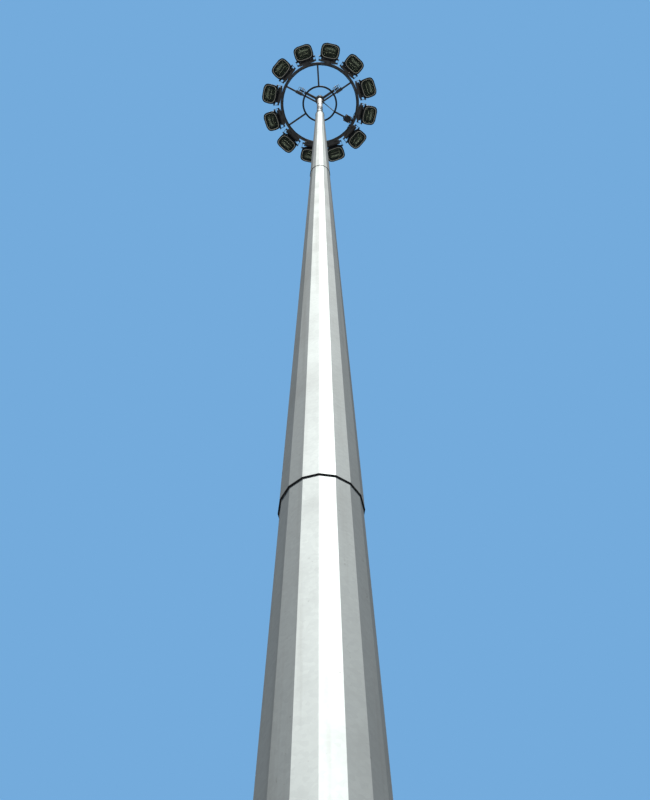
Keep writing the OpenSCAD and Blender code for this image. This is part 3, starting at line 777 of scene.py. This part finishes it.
# rods that keep the rope in its groove, and stiffening webs each side
bm = bmesh.new()
for arm in arms:
    keeper = sheaveRadius + head["guardGap"]
    keeperX = sheaveX + keeper * math.cos(head["guardAngle"])
    keeperZ = keeper * math.sin(head["guardAngle"])
    for x, z in ((keeperX, min(keeperZ, 0.036)), (sheaveX - sheaveRadius * 0.6, -0.04)):
        addTube(bm, [arm @ Vector((x, y, z)) for y in (-cageWidth / 2 + 0.004, cageWidth / 2 - 0.004)],
                head["guardRadius"], 10)
    for side in (-1, 1):
        for x in (sheaveX - 0.055, sheaveX + 0.055):
            addBox(bm, (x - 0.003, side * (cageWidth / 2 + 0.0005), -head["webHalf"]),
                   (x + 0.003, side * (cageWidth / 2 + 0.012), head["webHalf"]), arm)
finished("ropeKeepers", bm, "mast", "carriage_steel")

# gussets where the arms leave the drum, above and below
bm = bmesh.new()
for arm in arms:
    for side, root in ((1, drumRadius - 0.004), (-1, drumRadius + 0.002)):
        near = side * head["gussetStart"]
        far = side * (head["gussetStart"] + head["gussetHeight"])
        addPlate(bm, [(root, near), (drumRadius + head["gussetReach"], near), (root, far)],
                 head["gussetThick"], arm)
finished("armGussets", bm, "mast", "carriage_steel")

# hub bolts that turn with each sheave
for k, spot in enumerate(sheaveSpots):
    bm = bmesh.new()
    for side in (-1, 1):
        hub = turned(armAngles[k], sheaveX, armZ) @ sideways(side)
        addTurned(bm, [(0.014, 0.012), (0.030, 0.012), (0.030, 0.0195), (0.027, 0.021), (0.014, 0.021)],
                  hub, 28, closed=True)
        for n in range(head["hubBolts"]):
            addHex(bm, 0.010, 0.0045, hub @ turned(2 * math.pi * n / head["hubBolts"], 0.045, 0.0148))
    finished("sheaveHub%d" % (k + 1), bm, "sheave_%d" % (k + 1), "sheave_iron")


def ropeAlong(name, paths):
    # one lobed rope for each path, joined in one mesh
    curve = bpy.data.curves.new(name + "Path", "CURVE")
    curve.dimensions = "3D"
    curve.twist_mode = "MINIMUM"
    for path in paths:
        spline = curve.splines.new("POLY")
        spline.points.add(len(path) - 1)
        for point, spot in zip(spline.points, path):
            point.co = (*spot, 1)
    host = bpy.data.objects.new(name + "Path", curve)
    return grown(name, ropeTree, {
        "Radius": head["ropeRadius"], "Strands": head["strands"], "Lay": head["lay"],
        "Step": head["ropeStep"], "Finish": wireRope}, host=host)


hanging = [[spin(a) @ Vector((ropeX, 0, z)) for z in (ropeHigh.z + 0.001, ropeLow.z - 0.002)]
           for a in armAngles]
ropes = ropeAlong("hoistRopes", hanging)
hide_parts("hoist_ropes")
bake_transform(ropes)

lift = ropeX - sheaveX
overSheaves = []
for a in armAngles:
    path = [Vector((0.04, 0, armZ + lift))]
    path += [Vector((sheaveX + lift * math.sin(t), 0, armZ + lift * math.cos(t)))
             for t in (math.pi / 2 * n / 14 for n in range(15))]
    overSheaves.append([spin(a) @ p for p in path])
kept(ropeAlong("ropesOverSheaves", overSheaves), "mast", ["rope_runs"])

# buffers under the docking arms that the spokes come up to
bm = bmesh.new()
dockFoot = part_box("docking_arms")[0].z
for angle in armAngles:
    for radius in head["padRadii"]:
        pad = turned(angle, radius, dockFoot)
        addTurned(bm, [(0, 0.002), (0.017, 0.002), (0.019, -0.001), (0.018, -0.0035), (0, -0.0035)], pad, 20)
finished("dockBuffers", bm, "mast", "cable_sheath")
print("head done")


carriage = {
    "clips": 24,                # harness clips round the ring
    "clipTurn": 0.131,
    "clipHalf": 0.008,
    "gearScrew": 0.012,
    "gearLid": (0.216, -0.006, 0.116),  # half width, bottom and top
    "gearHinges": 0.12,         # to each side of the lid's middle
    "gearScrewY": 0.196,
    "gearScrewZ": (0.012, 0.096),
    "glandPitch": 0.06,
    "footBolts": 0.042,         # to each side of a bracket's middle
    "weldRadius": 0.004,
    "ringLengths": 3,           # the ring comes in this many bolted lengths
    "jointBolts": 0.02,
    "harness": ((0.0, 0.011), (0.020, 0.008)),  # each line's drop and radius
    "harnessSag": 0.006,
    "tailPitch": 0.028,
    "tailCount": 6,
    "tailRadius": 0.0075,
    "cableRadius": 0.012,
    "straps": (0.56, 0.70),     # out along the spoke
    "strapRadius": 0.0022,
}
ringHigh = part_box("outer_ring")[1]
ringOut = ringHigh.x
ringTop = ringHigh.z
ringHalf = ringTop - ringZ
ringIn = min(math.hypot(v.co.x, v.co.y) for v in nodes["outer_ring"].data.vertices)
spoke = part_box("ring_spoke_2")[1].x     # half of a spoke's width: this one lies along Y
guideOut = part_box("inner_ring")[1].x
lampAngles = [math.atan2(joints["floodlight_%d_tilt" % (k + 1)]["pos_m"][1],
                         joints["floodlight_%d_tilt" % (k + 1)]["pos_m"][0]) for k in range(lampCount)]

# gear boxes: a lid with two hinges, four screws and three glands each
bm = bmesh.new()
screws = bmesh.new()
glands = bmesh.new()
for angle in lampAngles:
    box = turned(angle, ringOut, ringZ)
    half, low, high = carriage["gearLid"]
    addBox(bm, (0.100, -half, low), (0.1125, half, high), box)
    for side in (-1, 1):
        y = side * carriage["gearHinges"]
        addBox(bm, (0.096, y - 0.03, high - 0.007), (0.1155, y + 0.03, high + 0.002), box)
        addBox(bm, (0.004, y - 0.025, -0.0185), (0.10, y + 0.025, -0.0105), box)
        for z in carriage["gearScrewZ"]:
            addHex(screws, carriage["gearScrew"], 0.006,
                   box @ shift(0.1122, side * carriage["gearScrewY"], z) @ facingX)
    for y in (-carriage["glandPitch"], 0.0, carriage["glandPitch"]):
        gland = box @ shift(0.075, y, -0.010) @ facingDown
        addHex(glands, 0.030, 0.016, gland)
        addTurned(glands, [(0.011, 0.014), (0.011, 0.026), (0.007, 0.030), (0, 0.030)], gland, 14)
lids = finished("gearLids", bm, "carriage", "gear_paint")
bevelled(lids, 0.003)
finished("gearScrews", screws, "carriage", "fittings", stainless)
finished("gearGlands", glands, "carriage", "cable_sheath")

# bracket feet: two bolts up through the ring and a shim below
bolts = bmesh.new()
plates = bmesh.new()
footLow = ringZ - ringHalf - 0.0082
for angle in lampAngles:
    for side in (-1, 1):
        foot = turned(angle, ringIn + 0.030, footLow) @ facingDown
        foot = foot @ shift(0, -side * carriage["footBolts"], 0)
        addDisc(bolts, 0.016, 0, 0.003, foot)
        addHex(bolts, 0.024, 0.018, foot @ shift(0, 0, 0.002))
        addTurned(bolts, [(0, 0.019), (0.0075, 0.019), (0.0075, 0.030), (0.006, 0.032), (0, 0.032)],
                  foot, 14)
    addBox(plates, (ringIn + 0.008, -0.058, footLow - 0.0003), (ringIn + 0.052, 0.058, footLow + 0.0010),
           turned(angle))
finished("footBolts", bolts, "carriage", "carriage_steel")
finished("footShims", plates, "carriage", "carriage_steel")

# weld beads where the spokes meet the rings
bm = bmesh.new()
for k in range(spokeCount):
    angle = spokeTurn + k * math.pi / 3
    for radius in (ringIn - 0.003, guideOut - 0.003):
        loop = [Vector((0, y * spoke, z * spoke)) for y, z in ((-1, -1), (1, -1), (1, 1), (-1, 1), (-1, -1))]
        addTube(bm, [turned(angle, radius, ringZ) @ p for p in loop], carriage["weldRadius"], 6)
finished("spokeWelds", bm, "carriage", "carriage_steel", smooth=True)

# butt-plates where the ring's three lengths are bolted together
bm = bmesh.new()
bolts = bmesh.new()
for k in range(carriage["ringLengths"]):
    angle = math.pi / 2 + 2 * math.pi * k / carriage["ringLengths"]
    for side in (-1, 1):
        joint = turned(angle + side * 0.009, 0, ringZ)
        addBox(bm, (ringIn - 0.024, -0.005, -ringHalf + 0.004), (ringIn, 0.005, ringHalf - 0.004), joint)
    joint = turned(angle, 0, ringZ)
    for z in (-carriage["jointBolts"], carriage["jointBolts"]):
        for side in (-1, 1):
            addHex(bolts, 0.016, 0.009, joint @ shift(ringIn - 0.012, side * 0.0155, z)
                   @ sideways(side))
finished("ringJoints", bm, "carriage", "carriage_steel")
finished("ringJointBolts", bolts, "carriage", "fittings")

# rope sockets on the anchor blocks, and the bolts that hold them
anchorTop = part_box("rope_anchors")[1].z
sockets = bmesh.new()
for angle in armAngles:
    at = turned(angle, ropeX, anchorTop)
    addTurned(sockets, [(0, -0.001), (0.019, -0.001), (0.019, 0.010), (0.014, 0.014), (0.0105, 0.060),
                        (0.0055, 0.062), (0, 0.062)], at, 20)
    for side in (-1, 1):
        addHex(sockets, 0.018, 0.012, turned(angle, ropeX + side * 0.055, anchorTop))
        for y in (-0.028, 0.028):
            addHex(sockets, 0.018, 0.012, turned(angle, ropeX + side * 0.078, anchorTop)
                   @ shift(0, y, 0))
finished("ropeSockets", sockets, "carriage", "fittings")

# harness round the ring's lower inner corner, held by clips
harnessR, harnessZ = ringIn - 0.012, ringZ - 0.012
bm = bmesh.new()
for drop, thin in carriage["harness"]:
    path = []
    for n in range(241):
        a = 2 * math.pi * n / 240
        sag = carriage["harnessSag"] * math.sin(lampCount * a) ** 2
        path.append(turned(a, harnessR - sag * 0.2, harnessZ - drop - sag).translation)
    addTube(bm, path, thin, 8)
finished("ringHarness", bm, "carriage", "cable_sheath", smooth=True)

bm = bmesh.new()
for x0, z0, x1, z1 in ((0.0, -0.030, 0.0028, 0.014), (-0.026, -0.0325, 0.0028, -0.0300),
                       (-0.026, -0.0300, -0.0235, 0.014), (-0.026, 0.0115, 0.012, 0.014)):
    addBox(bm, (x0, -carriage["clipHalf"], z0), (x1, carriage["clipHalf"], z1))
ringOf("harnessClips", bm, "carriage", "gear_paint", carriage["clips"], ringIn - 0.0003,
       harnessZ - 0.002, carriage["clipTurn"])

# junction box: lid with a rubber line, corner screws, glands, and tails to the harness
boxLow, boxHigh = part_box("junction_box")
boxZ = boxLow.z
ray = Vector((math.cos(spokeTurn), math.sin(spokeTurn), 0))
along = [ray.dot(v.co) for v in nodes["junction_box"].data.vertices]
boxMid, boxHalf = (min(along) + max(along)) / 2, (max(along) - min(along)) / 2
jb = turned(spokeTurn, boxMid, boxZ)
bm = bmesh.new()
for half, low, high in ((boxHalf + 0.004, -0.007, -0.0005), (boxHalf + 0.003, 0.0, 0.012)):
    addBox(bm, (-half, -half, low), (half, half, high), jb)
lid = finished("junctionLid", bm, "carriage", "gear_paint")
bevelled(lid, 0.003)
bm = bmesh.new()
lidScrew = boxHalf - 0.016
for x in (-lidScrew, lidScrew):
    for y in (-lidScrew, lidScrew):
        spot = jb @ shift(x, y, -0.007) @ facingDown
        addTurned(bm, [(0, 0), (0.009, 0), (0.009, 0.003), (0.006, 0.0055), (0, 0.0055)], spot, 16)
finished("junctionScrews", bm, "carriage", "fittings", stainless)
bm = bmesh.new()
tails = bmesh.new()
midZ = (boxLow.z + boxHigh.z) / 2
for k in range(carriage["tailCount"]):
    y = (k - (carriage["tailCount"] - 1) / 2) * carriage["tailPitch"]
    spot = turned(spokeTurn, boxMid + boxHalf, midZ) @ shift(0, y, 0) @ facingX
    addHex(bm, 0.026, 0.014, spot)
    addTurned(bm, [(0.010, 0.012), (0.010, 0.022), (0.006, 0.026), (0, 0.026)], spot, 12)
    start = turned(spokeTurn, boxMid + boxHalf + 0.020, midZ) @ Vector((0, y, 0))
    spread = spokeTurn + y * 3.4
    end = turned(spread, harnessR - 0.012, harnessZ - 0.012).translation
    middle = start.lerp(end, 0.55) - Vector((0, 0, 0.022 + 0.012 * (k % 3)))
    addTube(tails, curved([start, start + ray * 0.020, middle, end], 5), carriage["tailRadius"], 8)
finished("junctionGlands", bm, "carriage", "cable_sheath")
finished("junctionTails", tails, "carriage", "cable_sheath", smooth=True)

# the supply cable: hangs from the drum, then lies along the spoke to the box
cableR = carriage["cableRadius"]
cableLow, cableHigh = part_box("supply_cable")
along = [ray.dot(v.co) for v in nodes["supply_cable"].data.vertices]
topX, topZ = min(along) + cableR, cableHigh.z - cableR
footX, footZ = max(along) - cableR, cableLow.z + cableR
cableTop, cableFoot = ray * topX + Vector((0, 0, topZ)), ray * footX + Vector((0, 0, footZ))
bm = bmesh.new()
addTube(bm, [cableTop.lerp(cableFoot, n / 24) for n in range(25)], cableR, 14)
cable = finished("supplyCable", bm, None, "cable_sheath", smooth=True, replaces=["supply_cable"])
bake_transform(cable)
bm = bmesh.new()
addTube(bm, [turned(spokeTurn) @ Vector(p) for p in curved([
    (topX - 0.020, 0, topZ + 0.055), (topX - 0.011, 0, topZ + 0.030), (topX, 0, topZ)], 5)],
        cableR + 0.0005, 14)
addTurned(bm, [(0, 0), (0.022, 0), (0.022, 0.016), (0.016, 0.026), (0, 0.026)],
          turned(spokeTurn, topX - 0.013, topZ + 0.022) @ spin(0.3, "Y"), 18)
finished("cableEntry", bm, "mast", "cable_sheath", smooth=True)
boxIn = boxMid - boxHalf
bm = bmesh.new()
addTube(bm, [turned(spokeTurn) @ Vector(p) for p in curved([
    (footX - 0.004, 0, footZ + 0.013), (footX + 0.017, 0, footZ - 0.007), (footX + 0.057, 0, ringZ + 0.037),
    (0.600, 0, ringZ + 0.036), (0.720, 0, ringZ + 0.036),
    (boxIn - 0.030, 0.012, ringZ + 0.034), (boxIn - 0.012, 0.040, ringZ + 0.012),
    (boxIn - 0.016, 0.046, ringZ - 0.040), (boxIn - 0.012, 0.044, midZ + 0.010),
    (boxIn + 0.004, 0.044, midZ)], 6)], cableR, 12)
finished("cableRun", bm, "carriage", "cable_sheath", smooth=True)
bm = bmesh.new()
for x in carriage["straps"]:
    strap = turned(spokeTurn, x, ringZ)
    addTube(bm, [strap @ Vector((0, y, z)) for y, z in (
        (-0.0245, -0.0245), (0.0245, -0.0245), (0.0245, 0.022), (0.014, 0.048), (-0.014, 0.048),
        (-0.0245, 0.022), (-0.0245, -0.0245))], carriage["strapRadius"], 6)
finished("cableStraps", bm, "carriage", "cable_sheath")
print("carriage done")


lamp = {
    "squareness": 3.6,          # 2 is an ellipse
    "rim": 0.034,
    "fins": 13,
    "finSpacing": 0.024,
    "finHeight": 0.020,
    "frame": 0.030,             # black door frame outside the bright strip
    "bezel": 0.012,             # bright strip round the glass
    "tilt": math.radians(20),
    "finThick": 0.0044,
    "tubeSpot": (0.135, 0.062),     # arc tube: out from the pivot, and above the face
    "tubeHalf": 0.105,
    "toggleOut": 0.150,
    "catches": 0.15,            # to each side of the middle
    "leadRadius": 0.0065,
}
pivot = Vector(joints["floodlight_1_tilt"]["pos_m"])
pivotRadius = math.hypot(pivot.x, pivot.y)


def lampPlace(k):
    # frame at the tilt pivot: X away from the ring, Z towards the lamp's back
    return turned(lampAngles[k], pivotRadius, pivot.z) @ spin(-lamp["tilt"], "Y")


local = {part: [lampPlace(0).inverted() @ v.co for v in nodes["floodlight_1_" + part].data.vertices]
         for part in ("housing", "glass")}
lamp["width"] = 2 * max(v.y for v in local["glass"]) + 0.016
lamp["inner"], lamp["outer"] = (edge(v.x for v in local["housing"]) for edge in (min, max))
lamp["front"], lamp["back"] = (edge(v.z for v in local["housing"]) for edge in (min, max))


def lampOutline(inset, z, shape=None, steps=40):
    # a pillow: a rectangle whose sides bulge and whose corners are well rounded
    x0, x1, half = shape or (lamp["inner"], lamp["outer"], lamp["width"] / 2)
    x0, x1, half = x0 + inset, x1 - inset, half - inset
    middle, reach = (x0 + x1) / 2, (x1 - x0) / 2
    loop = []
    for n in range(steps):
        a = 2 * math.pi * (n + 0.5) / steps
        c, s = math.cos(a), math.sin(a)
        stretch = (abs(c) ** lamp["squareness"] + abs(s) ** lamp["squareness"]) ** (-1 / lamp["squareness"])
        loop.append(Vector((middle + reach * c * stretch, half * s * stretch, z)))
    return loop


def addLoops(bm, loops, place, close=False):
    rows = [[bm.verts.new(place @ p) for p in loop] for loop in loops]
    pairs = list(zip(rows, rows[1:])) + ([(rows[-1], rows[0])] if close else [])
    for low, high in pairs:
        for n in range(len(low)):
            m = (n + 1) % len(low)
            bm.faces.new([low[n], low[m], high[m], high[n]])
    return rows


front, back, rimTop = lamp["front"], lamp["back"], lamp["front"] + lamp["rim"]
backBox = {"x0": lamp["inner"] + 0.030, "x1": lamp["outer"] * 0.62, "half": lamp["width"] * 0.31}


def bowl(share):
    # outlines between the rim (0) and the flat back (1), bulging on the way
    s = math.sin(share * math.pi / 2)
    drop = 1 - math.cos(share * math.pi / 2)
    x0 = lamp["inner"] + (backBox["x0"] - lamp["inner"]) * drop
    x1 = lamp["outer"] + (backBox["x1"] - lamp["outer"]) * drop
    half = lamp["width"] / 2 + (backBox["half"] - lamp["width"] / 2) * drop
    return (x0, x1, half), rimTop + (back - rimTop) * s


def makeLamp(k):
    place = lampPlace(k)
    number = k + 1
    body = "floodlight_%d" % number
    halfWidth = lamp["width"] / 2

    # cast housing: the outside from the face's lip round to the flat back, and the inside
    bm = bmesh.new()
    edge = lamp["frame"]
    loops = [lampOutline(edge + 0.002, front + 0.0145), lampOutline(edge + 0.002, front + 0.003),
             lampOutline(edge - 0.002, front), lampOutline(0.006, front), lampOutline(0.0, front + 0.005),
             lampOutline(0.0, front + 0.013), lampOutline(0.003, front + 0.0145),
             lampOutline(0.003, front + 0.0175), lampOutline(0.0, front + 0.019),
             lampOutline(0.0, rimTop)]
    for n in range(1, 8):
        shape, z = bowl(n / 7)
        loops.append(lampOutline(0, z, shape))
    rows = addLoops(bm, loops, place)
    bm.faces.new(rows[-1])
    addLoops(bm, [lampOutline(edge + inset, front + 0.0145) for inset in (0.002, 0.010)], place)
    for side in (-1, 1):
        # trunnion boss, a lug at the inner corner and a hinge knuckle at the outer edge
        boss = place @ shift(0, side * halfWidth, 0) @ sideways(side)
        addTurned(bm, [(0.026, -0.065), (0.024, -0.006), (0.022, -0.0005), (0, -0.0005)], boss, 24)
        corner = place @ shift(lamp["inner"] + 0.020, side * (halfWidth - 0.075), front)
        addBox(bm, (-0.021, -0.016, 0.002), (-0.004, 0.016, 0.030), corner)
        knuckle = place @ shift(lamp["outer"] - 0.002, side * 0.11, front + 0.017) @ spin(math.pi / 2, "X")
        addDisc(bm, 0.007, -0.020, 0.020, knuckle, 14)
    finished("lampCast%d" % number, bm, body, "housing_cast", smooth=True, sharp=32,
             replaces=[body + "_housing"])

    # bright bezel round the glass
    bm = bmesh.new()
    strip = edge + lamp["bezel"]
    addLoops(bm, [lampOutline(edge, front + 0.0030), lampOutline(edge + 0.001, front + 0.0008),
                  lampOutline(strip, front + 0.0016), lampOutline(strip + 0.001, front + 0.0056),
                  lampOutline(edge, front + 0.0056)], place, close=True)
    finished("lampBezel%d" % number, bm, body, "housing_cast", lipMetal, smooth=True, sharp=30)

    # glass
    bm = bmesh.new()
    rows = addLoops(bm, [lampOutline(edge + inset, front + z) for inset, z in (
        (0.003, 0.0060), (0.002, 0.0070), (0.002, 0.0110), (0.003, 0.0120))], place)
    bm.faces.new(rows[0][::-1])
    bm.faces.new(rows[-1])
    finished("lampGlass%d" % number, bm, body, "lamp_glass", sharp=30, replaces=[body + "_glass"])

    # hammered reflector bowl, just inside the casting
    bm = bmesh.new()
    bowlLoops = [lampOutline(edge + 0.006, front + 0.0150, bowl(0)[0])]
    for n in range(1, 8):
        shape, z = bowl(n / 7)
        bowlLoops.append(lampOutline(0.014, z - 0.012, shape))
    rows = addLoops(bm, bowlLoops, place)
    bm.faces.new(rows[-1])
    finished("lampReflector%d" % number, bm, body, "housing_cast", reflectorMetal, smooth=True)

    # arc tube across the bowl with its two holders
    bm = bmesh.new()
    tubeOut, tubeUp = lamp["tubeSpot"]
    across = place @ shift(tubeOut, 0, front + tubeUp) @ spin(math.pi / 2, "X")
    tubeEnd = lamp["tubeHalf"]
    addTurned(bm, [(0, -tubeEnd), (0.009, 0.003 - tubeEnd), (0.012, 0.015 - tubeEnd),
                   (0.0125, tubeEnd - 0.015), (0.009, tubeEnd - 0.003), (0, tubeEnd)], across, 20)
    finished("lampTube%d" % number, bm, body, "lamp_glass", tube, smooth=True)
    bm = bmesh.new()
    for side in (-1, 1):
        holder = across @ spin(math.pi if side < 0 else 0, "X")
        addDisc(bm, 0.017, tubeEnd - 0.009, tubeEnd + 0.025, holder, 18)
    finished("lampHolders%d" % number, bm, body, "housing_cast", ceramic)

    # stainless toggles and pivot clamps
    bm = bmesh.new()
    for side in (-1, 1):
        knob = place @ shift(0, side * (halfWidth + 0.0105), 0) @ sideways(side)
        addTurned(bm, [(0, 0.0), (0.021, 0.0), (0.021, 0.004), (0.018, 0.006), (0, 0.006)], knob, 24)
        addHex(bm, 0.030, 0.012, knob @ shift(0, 0, 0.0055))
        toggle = place @ shift(lamp["toggleOut"], side * (halfWidth - 0.003), front + 0.016)
        addBox(bm, (-0.020, -0.003, -0.014), (0.020, 0.004, 0.016), toggle)
        addTube(bm, [toggle @ Vector((x, side * 0.004, z)) for x, z in (
            (-0.016, 0.010), (-0.016, -0.010), (0.016, -0.010), (0.016, 0.010))], 0.0022, 6)
        catch = place @ shift(lamp["inner"] + 0.002, side * lamp["catches"], front + 0.016)
        addBox(bm, (-0.004, -0.016, -0.013), (0.003, 0.016, 0.015), catch)
    finished("lampClamps%d" % number, bm, body, "fittings", stainless)

    # fins across the back
    fin = bmesh.new()
    finTop = back + lamp["finHeight"]
    addPlate(fin, [(0.004, back - 0.003), (0.004, back + 0.004), (0.016, finTop - 0.003), (0.030, finTop),
                   (0.170, finTop), (0.196, back + 0.008), (0.205, back - 0.003)], lamp["finThick"])
    fins = grown("lampFins%d" % number, finTree, {
        "Count": lamp["fins"], "Spacing": lamp["finSpacing"], "Finish": castPaint},
        blank=fin, place=place)
    kept(fins, body)

    # lead out of the back and up to the gear box
    gland = place @ Vector((lamp["inner"] + 0.012, 0.06, 0.030))
    top = turned(lampAngles[k], ringOut + 0.075, ringZ) @ Vector((0, 0.06, -0.036))
    radial = Vector((math.cos(lampAngles[k]), math.sin(lampAngles[k]), 0))
    bm = bmesh.new()
    addTube(bm, curved([gland + radial * 0.004, gland - radial * 0.030 + Vector((0, 0, 0.002)),
                        gland - radial * 0.055 + Vector((0, 0, 0.028)),
                        top - Vector((0, 0, 0.022)) + radial * 0.004, top], 5), lamp["leadRadius"], 8)
    lead = finished("lampLead%d" % number, bm, None, "cable_sheath", smooth=True)
    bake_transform(lead)


for k in range(lampCount):
    makeLamp(k)
print("floodlights done")


bm = bmesh.new()
bmesh.ops.create_circle(bm, cap_ends=True, segments=96, radius=view["floorRadius"])
floor = finished("floor", bm, None, None, floorPaint)
